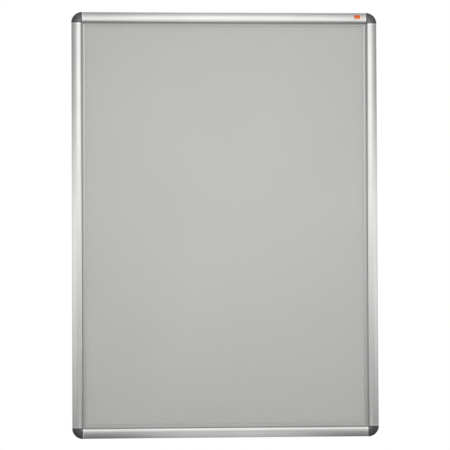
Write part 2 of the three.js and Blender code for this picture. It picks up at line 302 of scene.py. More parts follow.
def anodised_aluminium(colours):
    """Anodised aluminium, drawn through a die: a soft metal sheen, spread across faint lines along
    the rail."""
    material, tree, shader = new_material("anodised_aluminium_drawn")
    if tree is None:
        return material
    place = add_node(tree, "ShaderNodeUVMap", uv_map=SURFACE_UV)
    # Real die lines are 0.1 to 0.3 mm apart. To show at all, they are drawn 1.2 mm apart and
    # 200 mm long.
    stretch = add_node(
        tree, "ShaderNodeMapping", {"Scale": (1 / (1.2 * MM), 1 / (200 * MM), 1)}, {"Vector": place}
    )
    lines = add_node(
        tree,
        "ShaderNodeTexNoise",
        {"Scale": 1.0, "Detail": 4.0, "Roughness": 0.6},
        {"Vector": stretch},
        noise_dimensions="2D",
    )
    # Slow cloudiness of the anodising bath, about 90 mm across
    spot = add_node(tree, "ShaderNodeTexCoord")
    cloud = add_node(
        tree,
        "ShaderNodeTexNoise",
        {"Scale": 1 / (90 * MM), "Detail": 3.0},
        {"Vector": spot.outputs["Object"]},
    )
    both = add_node(tree, "ShaderNodeMath", links={0: lines, 1: cloud}, operation="MULTIPLY")
    tone = add_node(
        tree,
        "ShaderNodeMix",
        {6: toned(colours.aluminium, 0.82), 7: toned(colours.aluminium, 1.12)},
        {0: both},
        data_type="RGBA",
    )
    # Painted highlight: the last 2 mm before a sawn end are drawn paler
    distance = add_node(tree, "ShaderNodeAttribute", attribute_name="from_end")
    end_highlight = add_node(
        tree,
        "ShaderNodeMapRange",
        {"From Min": 1.2 * MM, "From Max": 2.6 * MM, "To Min": 1.0, "To Max": 0.0},
        {"Value": distance.outputs["Fac"]},
        interpolation_type="SMOOTHSTEP",
    )
    paler = add_node(
        tree,
        "ShaderNodeMix",
        {7: toned(colours.aluminium, 1.15)},
        {0: end_highlight, 6: tone},
        data_type="RGBA",
    )
    # Painted shade: the groove and the lip are drawn darker than the dome by a share stored on each
    # point, and the same share makes them rougher
    groove = add_node(tree, "ShaderNodeAttribute", attribute_name="groove_shade_share")
    dull = add_node(
        tree,
        "ShaderNodeMix",
        {7: toned(colours.aluminium, 0.6)},
        {0: groove.outputs["Fac"], 6: paler},
        data_type="RGBA",
    )
    gloss = add_node(
        tree,
        "ShaderNodeMapRange",
        {"From Min": 0.3, "From Max": 0.7, "To Min": 0.22, "To Max": 0.3},
        {"Value": lines},
    )
    rough = add_node(
        tree,
        "ShaderNodeMath",
        {1: 0.33},
        {0: groove.outputs["Fac"], 2: gloss},
        operation="MULTIPLY_ADD",
    )
    relief = add_node(
        tree, "ShaderNodeBump", {"Strength": 0.12, "Distance": 0.05 * MM}, {"Height": lines}
    )
    tangent = add_node(tree, "ShaderNodeTangent", direction_type="UV_MAP", uv_map=SURFACE_UV)
    set_sockets(
        shader,
        {"Metallic": 1, "Anisotropic": 0.45},
        {"Base Color": dull, "Roughness": rough, "Normal": relief, "Tangent": tangent},
    )
    return material


def sawn_aluminium(colours):
    """Aluminium sawn to length before anodising: a rougher, brighter end with fine saw strokes."""
    material, tree, shader = new_material("anodised_aluminium_sawn")
    if tree is None:
        return material
    place = add_node(tree, "ShaderNodeUVMap", uv_map=SURFACE_UV)
    # A saw leaves strokes about 0.15 mm apart. They are drawn 0.79 mm apart on a slant: a wave's
    # bands lie pi / 10 apart at scale 1.
    turn = add_node(
        tree, "ShaderNodeMapping", {"Rotation": (0, 0, math.radians(28))}, {"Vector": place}
    )
    strokes = add_node(
        tree,
        "ShaderNodeTexWave",
        {"Scale": 1 / (2.52 * MM), "Distortion": 1.5, "Detail": 2.0},
        {"Vector": turn},
    )
    tone = add_node(
        tree,
        "ShaderNodeMix",
        {6: toned(colours.aluminium, 0.85), 7: toned(colours.aluminium, 1.05)},
        {0: strokes.outputs[1]},
        data_type="RGBA",
    )
    relief = add_node(
        tree,
        "ShaderNodeBump",
        {"Strength": 0.25, "Distance": 0.05 * MM},
        {"Height": strokes.outputs[1]},
    )
    set_sockets(shader, {"Metallic": 1, "Roughness": 0.45}, {"Base Color": tone, "Normal": relief})
    return material


def moulded_abs(colours):
    """ABS moulded in a spark eroded tool: dark grey and finely grained, with the soft gloss of
    handled plastic, shinier and duller along the melt's flow."""
    material, tree, shader = new_material("abs_moulded_grained")
    if tree is None:
        return material
    spot = add_node(tree, "ShaderNodeTexCoord")
    # The tool's grain is 0.1 to 0.2 mm. It is drawn at 0.8 mm to show.
    grain = add_node(
        tree,
        "ShaderNodeTexNoise",
        {"Scale": 1 / (0.8 * MM), "Detail": 3.0, "Roughness": 0.65},
        {"Vector": spot.outputs["Object"]},
    )
    # Flow marks of the melt, some 6 mm long
    flow = add_node(
        tree,
        "ShaderNodeTexNoise",
        {"Scale": 1 / (6 * MM), "Detail": 2.0, "Distortion": 0.8},
        {"Vector": spot.outputs["Object"]},
    )
    both = add_node(tree, "ShaderNodeMath", links={0: grain, 1: flow}, operation="MULTIPLY")
    tone = add_node(
        tree,
        "ShaderNodeMix",
        {6: toned(colours.plastic, 0.6), 7: toned(colours.plastic, 1.5)},
        {0: both},
        data_type="RGBA",
    )
    gloss = add_node(
        tree,
        "ShaderNodeMapRange",
        {"From Min": 0.3, "From Max": 0.7, "To Min": 0.13, "To Max": 0.22},
        {"Value": flow},
    )
    relief = add_node(
        tree, "ShaderNodeBump", {"Strength": 0.3, "Distance": 0.06 * MM}, {"Height": grain}
    )
    set_sockets(
        shader,
        {"IOR": 1.54, "Specular IOR Level": 1.0},
        {"Base Color": tone, "Roughness": gloss, "Normal": relief},
    )
    return material


def extruded_polystyrene(colours):
    """Polystyrene sheet, extruded and rolled: plain light grey and matt, with the roll's faint
    cloudiness."""
    material, tree, shader = new_material("polystyrene_sheet_rolled")
    if tree is None:
        return material
    spot = add_node(tree, "ShaderNodeTexCoord")
    # The roll's cloudiness is about 110 mm across
    cloud = add_node(
        tree,
        "ShaderNodeTexNoise",
        {"Scale": 1 / (110 * MM), "Detail": 4.0},
        {"Vector": spot.outputs["Object"]},
    )
    # Sheet grain is some 0.3 mm, drawn at 1.6 mm
    grain = add_node(
        tree,
        "ShaderNodeTexNoise",
        {"Scale": 1 / (1.6 * MM), "Detail": 2.0},
        {"Vector": spot.outputs["Object"]},
    )
    tone = add_node(
        tree,
        "ShaderNodeMix",
        {6: toned(colours.panel, 0.95), 7: toned(colours.panel, 1.05)},
        {0: cloud},
        data_type="RGBA",
    )
    relief = add_node(
        tree, "ShaderNodeBump", {"Strength": 0.15, "Distance": 0.03 * MM}, {"Height": grain}
    )
    set_sockets(shader, {"Roughness": 0.6, "IOR": 1.59}, {"Base Color": tone, "Normal": relief})
    return material


def matt_clear_film(colours):
    """PET film, cast with a matt front: clear, with a milky veil and a wide soft sheen that hides
    reflections."""
    material, tree, shader = new_material("pet_film_matt")
    if tree is None:
        return material
    spot = add_node(tree, "ShaderNodeTexCoord")
    # The matt front's grain is under 0.1 mm, drawn at 1.1 mm
    grain = add_node(
        tree,
        "ShaderNodeTexNoise",
        {"Scale": 1 / (1.1 * MM), "Detail": 2.0},
        {"Vector": spot.outputs["Object"]},
    )
    # Slow waves of a thin sheet that lies loose in its frame, some 160 mm long
    wave = add_node(
        tree,
        "ShaderNodeTexNoise",
        {"Scale": 1 / (160 * MM), "Detail": 1.0},
        {"Vector": spot.outputs["Object"]},
    )
    tone = add_node(
        tree,
        "ShaderNodeMix",
        {6: toned(colours.cover, 0.97), 7: toned(colours.cover, 1.03)},
        {0: wave},
        data_type="RGBA",
    )
    loose = add_node(
        tree, "ShaderNodeBump", {"Strength": 0.5, "Distance": 0.35 * MM}, {"Height": wave}
    )
    relief = add_node(
        tree,
        "ShaderNodeBump",
        {"Strength": 0.1, "Distance": 0.03 * MM},
        {"Height": grain, "Normal": loose},
    )
    set_sockets(
        shader,
        {"Roughness": 0.5, "IOR": 1.57, "Alpha": 0.35},
        {"Base Color": tone, "Normal": relief},
    )
    return material


def rolled_spring_steel(colours):
    """Carbon spring steel, rolled and tempered: a darker smooth metal that turns from grey to
    straw."""
    material, tree, shader = new_material("spring_steel_rolled")
    if tree is None:
        return material
    spot = add_node(tree, "ShaderNodeTexCoord")
    # The colours of tempering run into each other over about 9 mm
    cast = add_node(
        tree,
        "ShaderNodeTexNoise",
        {"Scale": 1 / (9 * MM), "Detail": 3.0},
        {"Vector": spot.outputs["Object"]},
    )
    tone = add_node(
        tree, "ShaderNodeMix", {6: colours.spring, 7: colours.straw}, {0: cast}, data_type="RGBA"
    )
    gloss = add_node(
        tree,
        "ShaderNodeMapRange",
        {"From Min": 0.3, "From Max": 0.7, "To Min": 0.22, "To Max": 0.36},
        {"Value": cast},
    )
    set_sockets(shader, {"Metallic": 1}, {"Base Color": tone, "Roughness": gloss})
    return material


def zinc_plated_steel(colours):
    """Steel, turned and zinc plated: a bluish grey metal with small dull patches."""
    material, tree, shader = new_material("steel_zinc_plated")
    if tree is None:
        return material
    spot = add_node(tree, "ShaderNodeTexCoord")
    # Zinc grows in crystals, drawn 0.9 mm across
    patch = add_node(
        tree, "ShaderNodeTexVoronoi", {"Scale": 1 / (0.9 * MM)}, {"Vector": spot.outputs["Object"]}
    )
    gloss = add_node(tree, "ShaderNodeMapRange", {"To Min": 0.28, "To Max": 0.48}, {"Value": patch})
    tone = add_node(
        tree,
        "ShaderNodeMix",
        {6: colours.screw, 7: toned(colours.screw, 1.3)},
        {0: patch},
        data_type="RGBA",
    )
    set_sockets(shader, {"Metallic": 1}, {"Base Color": tone, "Roughness": gloss})
    return material


def satin_acrylic(colours):
    """Coloured acrylic, moulded and satin: deep orange that turns paler towards its lower edge,
    with little sheen."""
    material, tree, shader = new_material("acrylic_moulded_satin")
    if tree is None:
        return material
    place = add_node(tree, "ShaderNodeUVMap", uv_map=SURFACE_UV)
    part = add_node(tree, "ShaderNodeSeparateXYZ", links={0: place})
    fade = add_node(
        tree,
        "ShaderNodeMapRange",
        {"From Min": 0.35, "From Max": 0.75},
        {"Value": part.outputs["X"]},
        interpolation_type="SMOOTHSTEP",
    )
    spot = add_node(tree, "ShaderNodeTexCoord")
    # The mould's satin is finer than 0.1 mm, drawn at 1.5 mm
    cloud = add_node(
        tree,
        "ShaderNodeTexNoise",
        {"Scale": 1 / (1.5 * MM), "Detail": 2.0},
        {"Vector": spot.outputs["Object"]},
    )
    relief = add_node(
        tree, "ShaderNodeBump", {"Strength": 0.1, "Distance": 0.03 * MM}, {"Height": cloud}
    )
    tone = add_node(
        tree,
        "ShaderNodeMix",
        {6: colours.badge, 7: colours.badge_light},
        {0: fade},
        data_type="RGBA",
    )
    set_sockets(
        shader,
        {"Roughness": 0.45, "Specular IOR Level": 0.25},
        {"Base Color": tone, "Normal": relief},
    )
    return material


# Shapes


def ellipse_arc(centre, reach, rise, start, stop, steps):
    """Points centre + (reach cos t, rise sin t), with t from start to stop in degrees, in steps."""
    turn = np.radians(np.linspace(start, stop, steps + 1))
    return np.stack((centre[0] + reach * np.cos(turn), centre[1] + rise * np.sin(turn)), 1)


def step_top(sizes):
    """Height at which the dome ends and the groove begins: a share of the way from the lip up to
    the crest, in millimetres."""
    return LIP_TOP + GROOVE_SHARE * (sizes.depth / MM - LIP_TOP)


def snap_section(sizes):
    """Closed section of a snap rail: socket, dome of two quarter ellipses, groove of a quarter
    ellipse, lip, and the same line back inside by one wall, with the lug that holds the springs.
    In millimetres."""
    wall = sizes.rail_wall / MM
    crest = sizes.depth / MM
    step = step_top(sizes)
    outer = (CREST_INSET, DOME_FOOT)
    inner = (CREST_INSET, step)
    reach_out, rise_out = CREST_INSET - DOME_INSET, crest - DOME_FOOT
    reach_in, rise_in = STEP_INSET - CREST_INSET, crest - step
    groove = (STEP_INSET + GROOVE_REACH, step)
    groove_rise = step - LIP_TOP
    tip = (sizes.rail_width / MM - wall / 2, LIP_BOTTOM + wall / 2)
    return np.concatenate(
        (
            ellipse_arc(HINGE, SOCKET_RADII[0], SOCKET_RADII[0], *SOCKET_TURNS, 40),
            ellipse_arc(outer, reach_out, rise_out, 180, 90, 40),
            ellipse_arc(inner, reach_in, rise_in, 90, 0, 36)[1:],
            ellipse_arc(groove, GROOVE_REACH, groove_rise, 180, 270, 28)[1:],
            ellipse_arc(tip, wall / 2, wall / 2, 90, -90, 12),
            ellipse_arc(groove, GROOVE_REACH + wall, groove_rise + wall, 270, 180, 28),
            ellipse_arc(inner, reach_in - wall, rise_in - wall, 0, 90, 24)[1:],
            ellipse_arc(outer, reach_out - wall, rise_out - wall, 90, DOME_ROOT_TURN, 20)[1:],
            ellipse_arc(HINGE, SOCKET_RADII[1], SOCKET_RADII[1], *SOCKET_BACK_TURNS, 16),
            np.array(LUG),
            ellipse_arc(HINGE, SOCKET_RADII[1], SOCKET_RADII[1], *SOCKET_TURNS, 1)[:1],
        )
    )


def base_section(sizes):
    """Closed section of a base rail: bead on its neck, web, leg channel, sheet stop and ledge.
    In millimetres."""
    half_turn = math.degrees(math.asin(NECK_HALF / BEAD_RADIUS))
    width = sizes.rail_width / MM
    return np.concatenate(
        (
            [(HINGE[0] - NECK_HALF, 0)],
            ellipse_arc(HINGE, BEAD_RADIUS, BEAD_RADIUS, -90 - half_turn, -450 + half_turn, 48),
            np.array(BASE_TOP),
            [(width + inset, height) for height, inset in LEDGE],
        )
    )


def side_axes(side, sizes):
    """Origin, inward axis, along axis and length of a side. Inward, front and along are a
    right-handed set."""
    inward = np.array(SIDE_INWARD[side], float)
    upright = inward[0] != 0
    across, length = (sizes.width, sizes.height) if upright else (sizes.height, sizes.width)
    return -inward * across / 2, inward, np.cross(inward, FRONT), length


def solid_object(name, points, faces, uvs, finishes, second_finish_faces=0, merge=False):
    """A mesh object from points, faces and a UV pair per face corner. The last faces take the
    second finish."""
    mesh = bpy.data.meshes.new(name)
    mesh.from_pydata(points.reshape(-1, 3), [], faces)
    layer = mesh.uv_layers.new(name=SURFACE_UV)
    layer.data.foreach_set("uv", np.asarray(uvs, np.float32).ravel())
    slots = np.zeros(len(faces), np.int32)
    if second_finish_faces:
        slots[-second_finish_faces:] = 1
    for finish in finishes:
        mesh.materials.append(finish)
    mesh.polygons.foreach_set("material_index", slots)
    if merge:
        shape = bmesh.new()
        shape.from_mesh(mesh)
        bmesh.ops.remove_doubles(shape, verts=shape.verts, dist=MERGE_DISTANCE * MM)
        bmesh.ops.dissolve_degenerate(shape, edges=shape.edges, dist=MERGE_DISTANCE * MM)
        shape.to_mesh(mesh)
        shape.free()
    mesh.polygons.foreach_set("use_smooth", np.ones(len(mesh.polygons), bool))
    mesh.set_sharp_from_angle(angle=math.radians(SHARP_ANGLE))
    piece = bpy.data.objects.new(name, mesh)
    bpy.context.scene.collection.objects.link(piece)
    return piece


def grid_quads(rows, columns, closed_rows):
    """Corner numbers of a grid's quads, in the order row, next row. Closed rows join the last row
    to the first."""
    row = np.arange(rows if closed_rows else rows - 1)[:, None]
    column = np.arange(columns - 1)[None, :]
    following = (row + 1) % rows
    corners = (
        row * columns + column,
        following * columns + column,
        following * columns + column + 1,
        row * columns + column + 1,
    )
    return np.stack(np.broadcast_arrays(*corners), -1).reshape(-1, 4)


def rounded_edges(piece, width):
    """A narrow rounded bevel on the sharp edges."""
    bevel = piece.modifiers.new("rounded edges", "BEVEL")
    bevel.width = width
    bevel.segments = BEVEL_SEGMENTS
    bevel.limit_method = "ANGLE"
    bevel.angle_limit = math.radians(BEVEL_ANGLE)
    bevel.harden_normals = True
    return piece


def with_fold(section, fold):
    """The section as a loop of one turning sense, with a point added wherever it crosses
    u = fold, on the straight line between its neighbours."""
    after = np.roll(section, -1, 0)
    crossing = np.nonzero((section[:, 0] - fold) * (after[:, 0] - fold) < 0)[0]
    share = (fold - section[crossing, 0]) / (after[crossing, 0] - section[crossing, 0])
    between = section[crossing] + share[:, None] * (after[crossing] - section[crossing])
    loop = np.insert(section, crossing + 1, between, 0)
    after = np.roll(loop, -1, 0)
    area = np.sum(loop[:, 0] * after[:, 1] - loop[:, 1] * after[:, 0])
    return loop[::-1] if area < 0 else loop


def swept_uvs(flat, reach):
    """UV pairs of a swept loop's quads: the run round the loop, and the distance along."""
    run = np.linalg.norm(np.roll(flat, -1, 0) - flat, axis=-1)[:, 0]
    across = np.concatenate(((0,), np.cumsum(run)))
    first, second = across[:-1, None], across[1:, None]
    later = np.roll(reach, -1, 0)
    corners = (
        (first, reach[:, :-1]),
        (second, later[:, :-1]),
        (second, later[:, 1:]),
        (first, reach[:, 1:]),
    )
    pairs = [np.stack(np.broadcast_arrays(*pair), -1) for pair in corners]
    return np.stack(pairs, 2).reshape(-1, 2)


def carried_rail(name, section, side, sizes, finishes):
    """A section carried along one side: point = origin + inward u + front v + along s. Each
    section point has its own end at half the length less the larger of (corner + gap) and
    (u + gap / root 2), so the outer part is cut square beside the cap and the inner part is
    mitred."""
    corner = sizes.corner / MM
    fold = corner + END_GAP - END_GAP / math.sqrt(2)
    loop = with_fold(section, fold)
    origin, inward, along, length = side_axes(side, sizes)
    end = length / 2 - MM * np.maximum(corner + END_GAP, loop[:, 0] + END_GAP / math.sqrt(2))
    reach = end[:, None] * np.array(STATION_SHARES)
    flat = (loop * MM)[:, None, :]
    points = origin + flat[..., :1] * inward + flat[..., 1:] * FRONT + reach[..., None] * along
    rows, columns = reach.shape
    quads = grid_quads(rows, columns, True)
    outer = np.nonzero(loop[:, 0] <= fold + SAME_PLACE)[0]
    inner = np.nonzero(loop[:, 0] >= fold - SAME_PLACE)[0]
    ends = []
    for part in (outer, inner):
        ends += [part[::-1] * columns, part * columns + columns - 1]
    faces = quads.tolist() + [indices.tolist() for indices in ends]
    uvs = (swept_uvs(flat, reach), *(flat[indices // columns, 0] for indices in ends))
    piece = solid_object(name, points, faces, np.concatenate(uvs), finishes, len(ends))
    # Each point carries its distance from the sawn end, for the painted highlight there, and its
    # share of painted shade in the groove and on the lip
    groove_shade_table = LYING_GROOVE_SHADE if side in ("top", "bottom") else UPRIGHT_GROOVE_SHADE
    groove_shade = np.interp(loop[:, :1], *zip(*groove_shade_table)) * np.ones_like(reach)
    for label, values in (("from_end", end[:, None] - abs(reach)), ("groove_shade_share", groove_shade)):
        attribute = piece.data.attributes.new(label, "FLOAT", "POINT")
        attribute.data.foreach_set("value", values.astype(np.float32).ravel())
    return rounded_edges(piece, sizes.edge_round)


def corner_axes(corner, sizes):
    """Origin and the two inward axes of a corner, in the order that makes them right-handed with
    the front."""
    x, z = CORNER_INWARD[corner]
    in_x, in_z = np.array((x, 0.0, 0.0)), np.array((0.0, 0.0, z))
    origin = -in_x * sizes.width / 2 - in_z * sizes.height / 2
    return (origin, in_x, in_z) if np.cross(in_x, in_z) @ FRONT > 0 else (origin, in_z, in_x)


def turned_surface(profile, centre, turns):
    """Profile points (r, v) turned about an axis, with t in degrees:
    (centre + r cos t, centre + r sin t, v)."""
    turn = np.radians(turns)
    r, v = profile[:, :1], profile[:, 1:]
    flat = np.broadcast_arrays(centre[0] + r * np.cos(turn), centre[1] + r * np.sin(turn), v)
    return np.stack(flat, -1)


def cap_profile(sizes):
    """Half section of a cap about the inner corner's axis: the rails' dome outside, the same less
    one wall inside, and the post in the middle. In millimetres."""
    wall, proud = sizes.cap_wall / MM, sizes.cap_proud / MM
    corner, crest = sizes.corner / MM, (sizes.depth + sizes.cap_proud) / MM
    middle = corner - CREST_INSET
    step = step_top(sizes)
    low, high = (middle, DOME_FOOT), (middle, step)
    reach = STEP_INSET + proud - CREST_INSET
    hollow = reach - wall
    post_turn = 180 - math.degrees(math.acos((middle - POST_RADIUS) / hollow))
    return np.concatenate(
        (
            [(0, POST_BOTTOM), (POST_RADIUS, POST_BOTTOM)],
            ellipse_arc(high, hollow, crest - wall - step, post_turn, 90, 20),
            ellipse_arc(low, CREST_INSET - wall, crest - wall - DOME_FOOT, 90, 0, 24)[1:],
            [(corner - wall, CAP_FOOT), (corner, CAP_FOOT)],
            ellipse_arc(low, CREST_INSET, crest - DOME_FOOT, 0, 90, 32),
            ellipse_arc(high, reach, crest - step, 90, 180, 28)[1:],
            [(0, step)],
        )
    )


def placed_on_corner(flat, corner, sizes):
    """Points (a, b, v) in millimetres, put at a corner: origin + first a + second b + front v."""
    origin, first, second = corner_axes(corner, sizes)
    flat = flat * MM
    return origin + flat[..., :1] * first + flat[..., 1:2] * second + flat[..., 2:] * FRONT


def peg_profile():
    """Half section of a peg with a rounded tip. In millimetres."""
    nose = (PEG_RADIUS - PEG_NOSE, PEG_BOTTOM + PEG_NOSE)
    return np.concatenate(
        (
            [(0, PEG_TOP), (PEG_RADIUS, PEG_TOP)],
            ellipse_arc(nose, PEG_NOSE, PEG_NOSE, 0, -90, 6),
            [(0, PEG_BOTTOM)],
        )
    )


def cap_surfaces(sizes):
    """Points (a, b, v) in millimetres, faces and UVs of a cap: its half section turned by a quarter
    about the inner corner and closed at both ends, and each peg's turned right round."""
    centre = (sizes.corner / MM, sizes.corner / MM)
    shell = turned_surface(cap_profile(sizes), centre, np.linspace(180, 270, CAP_STEPS + 1))
    rows, columns = shell.shape[:2]
    first_column = np.arange(rows) * columns
    faces = grid_quads(rows, columns, True)[:, ::-1].tolist()
    faces += [first_column.tolist(), (first_column + columns - 1)[::-1].tolist()]
    points = [shell.reshape(-1, 3)]
    for place in PEG_PLACES:
        peg = turned_surface(peg_profile(), place, np.linspace(0, 360, PEG_STEPS + 1))
        start = sum(len(part) for part in points)
        faces += (grid_quads(*peg.shape[:2], False) + start).tolist()
        points.append(peg.reshape(-1, 3))
    flat = np.concatenate(points)
    return flat, faces, np.concatenate([flat[face, :2] * MM for face in faces])


def plate(half_a, half_b, half_thick, rounding, cells, pull=0.0):
    """A thin plate as two grids (a, b, h). At a distance d from the rim,
    |h| = half_thick root(1 - (1 - d/rounding)^2), and full beyond the rounding. A pull draws the
    corners in: a and b are times 1 - pull |a b / (half_a half_b)|^12. Returns points, quads and
    UVs."""

    def spread(half, count):
        """Rows from rim to rim, close together within the rounding."""
        rim = half - rounding * np.array(RIM_SHARES)
        inside = np.linspace(-rim[-1], rim[-1], count + 1)[1:-1]
        return np.concatenate((-rim, inside, rim[::-1]))

    a, b = np.meshgrid(spread(half_a, cells[0]), spread(half_b, cells[1]), indexing="ij")
    distance = np.minimum(half_a - abs(a), half_b - abs(b))
    swell = np.sqrt(1 - (1 - np.clip(distance / rounding, 0, 1)) ** 2)
    draw = 1 - pull * abs(a / half_a * b / half_b) ** CORNER_POWER
    top = np.stack((a * draw, b * draw, half_thick * swell), -1)
    bottom = top * (1, 1, -1)
    quads = grid_quads(*a.shape, False)
    place = np.stack((b / half_b / 2 + 0.5, a / half_a / 2 + 0.5), -1).reshape(-1, 2)
    faces = np.concatenate((quads, quads[:, ::-1] + a.size))
    uvs = np.concatenate((place[quads], place[quads[:, ::-1]]))
    return np.stack((top, bottom)), faces.tolist(), uvs


# Pieces


def sizes_and_colours(context):
    """The two property groups that the panel shows."""
    return context.scene.poster_frame_sizes, context.scene.poster_frame_colours


class POSTER_OT_base_rails(bpy.types.Operator):
    """The four base rails on the wall, with bead, leg channel and sheet stop"""

    bl_idname = "poster_frame.base_rails"
    bl_label = "Base rails"

    def execute(self, context):
        sizes, colours = sizes_and_colours(context)
        finishes = (anodised_aluminium(colours), sawn_aluminium(colours))
        for side in SIDE_INWARD:
            node = f"base_rail_{side}"
            piece = carried_rail(f"base_profile_{side}", base_section(sizes), side, sizes, finishes)
            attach(piece, "base_frame")
            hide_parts(node)
        return {"FINISHED"}


class POSTER_OT_snap_rails(bpy.types.Operator):
    """The four domed snap rails, which turn about the beads of the base rails"""

    bl_idname = "poster_frame.snap_rails"
    bl_label = "Snap rails"

    def execute(self, context):
        sizes, colours = sizes_and_colours(context)
        finishes = (anodised_aluminium(colours), sawn_aluminium(colours))
        for side in SIDE_INWARD:
            node = f"snap_rail_{side}"
            piece = carried_rail(f"snap_profile_{side}", snap_section(sizes), side, sizes, finishes)
            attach(piece, f"rail_{side}")
            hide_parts(node)
        return {"FINISHED"}


class POSTER_OT_leaf_springs(bpy.types.Operator):
    """The bowed leaf springs between the sheet stops and the snap rails"""

    bl_idname = "poster_frame.leaf_springs"
    bl_label = "Leaf springs"

    def execute(self, context):
        sizes, colours = sizes_and_colours(context)
        finish = rolled_spring_steel(colours)
        for side in SIDE_INWARD:
            origin, inward, along, length = side_axes(side, sizes)
            count = sizes.long_springs if length > sizes.width else sizes.short_springs
            for number in range(1, count + 1):
                place = number / (count + 1) * length - length / 2
                strip, faces, uvs = self.strip(sizes, place)
                u, v, s = (strip[..., axis : axis + 1] for axis in range(3))
                points = origin + u * inward + v * FRONT + s * along
                name = f"spring_strip_{side}_{number}"
                piece = solid_object(name, points, faces, uvs, (finish,), merge=True)
                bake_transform(piece)
                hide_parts(f"leaf_spring_{side}_{number}")
        return {"FINISHED"}

    def strip(self, sizes, place):
        """Points (u, v, s) of a plate bent to the circle through pocket and seat that rises by the
        bow: the angle from b, and the radius plus h. The strip lies across s = place."""
        pocket, seat = np.array(SPRING_POCKET), np.array(SPRING_SEAT)
        chord = seat - pocket
        half = np.linalg.norm(chord) / 2
        radius = (half**2 + SPRING_RISE**2) / (2 * SPRING_RISE)
        side = np.array((-chord[1], chord[0])) / (2 * half)
        centre = (pocket + seat) / 2 + side * (SPRING_RISE - radius)
        turns = [math.atan2(*(end - centre)[::-1]) for end in (pocket, seat)]
        half_length = radius * (turns[0] - turns[1]) / 2
        points, faces, uvs = plate(
            sizes.spring_width / MM / 2,
            half_length,
            SPRING_THICKNESS / 2,
            SPRING_ROUNDING,
            SPRING_CELLS,
            SPRING_CORNER_PULL,
        )
        turn = (turns[0] + turns[1]) / 2 - points[..., 1] / radius
        reach = radius + points[..., 2]
        u = centre[0] + reach * np.cos(turn)
        v = centre[1] + reach * np.sin(turn)
        return np.stack((u * MM, v * MM, place + points[..., 0] * MM), -1), faces, uvs


class POSTER_OT_corner_caps(bpy.types.Operator):
    """The four moulded corner caps, with a post and two pegs inside each"""

    bl_idname = "poster_frame.corner_caps"
    bl_label = "Corner caps"

    def execute(self, context):
        sizes, colours = sizes_and_colours(context)
        finish = moulded_abs(colours)
        flat, faces, uvs = cap_surfaces(sizes)
        for corner in CORNER_INWARD:
            points = placed_on_corner(flat, corner, sizes)
            piece = solid_object(f"cap_shell_{corner}", points, faces, uvs, (finish,), merge=True)
            rounded_edges(piece, 2 * sizes.edge_round)
            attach(piece, f"cap_{corner}")
            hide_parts(f"corner_cap_{corner}")
        return {"FINISHED"}


class POSTER_OT_corner_blocks(bpy.types.Operator):
    """Finishes of the corner blocks and leg screws, whose CAD shapes stay"""

    bl_idname = "poster_frame.corner_blocks"
    bl_label = "Corner blocks and leg screws"

    def execute(self, context):
        colours = sizes_and_colours(context)[1]
        for name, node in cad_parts.items():
            if name.startswith("corner_block"):
                node.material_slots[0].material = moulded_abs(colours)
            if name.startswith("leg_screw"):
                node.material_slots[0].material = zinc_plated_steel(colours)
        return {"FINISHED"}


class POSTER_OT_sheets(bpy.types.Operator):
    """The light grey back panel and the matt clear cover sheet"""

    bl_idname = "poster_frame.sheets"
    bl_label = "Back panel and cover sheet"

    def execute(self, context):
        sizes, colours = sizes_and_colours(context)
        half_x = sizes.width / 2 - SHEET_INSET * MM
        half_z = sizes.height / 2 - SHEET_INSET * MM
        styrene, film = extruded_polystyrene(colours), matt_clear_film(colours)
        pieces = (
            ("panel_sheet", "back_panel", PANEL_SPAN, styrene, "panel_plastic"),
            ("cover_film", "cover_sheet", COVER_SPAN, film, "cover_plastic"),
        )
        for name, node, (low, high), finish, slot in pieces:
            half_thick = (high - low) * MM / 2
            points, faces, uvs = plate(half_x, half_z, half_thick, half_thick, SHEET_CELLS)
            world = points[..., :1] * (1, 0, 0) + points[..., 1:2] * (0, 0, 1)
            world = world + (points[..., 2:] + (low + high) * MM / 2) * FRONT
            piece = solid_object(name, world, faces, uvs, (finish,), merge=True)
            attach(piece, "base_frame")
            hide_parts(node)
        return {"FINISHED"}


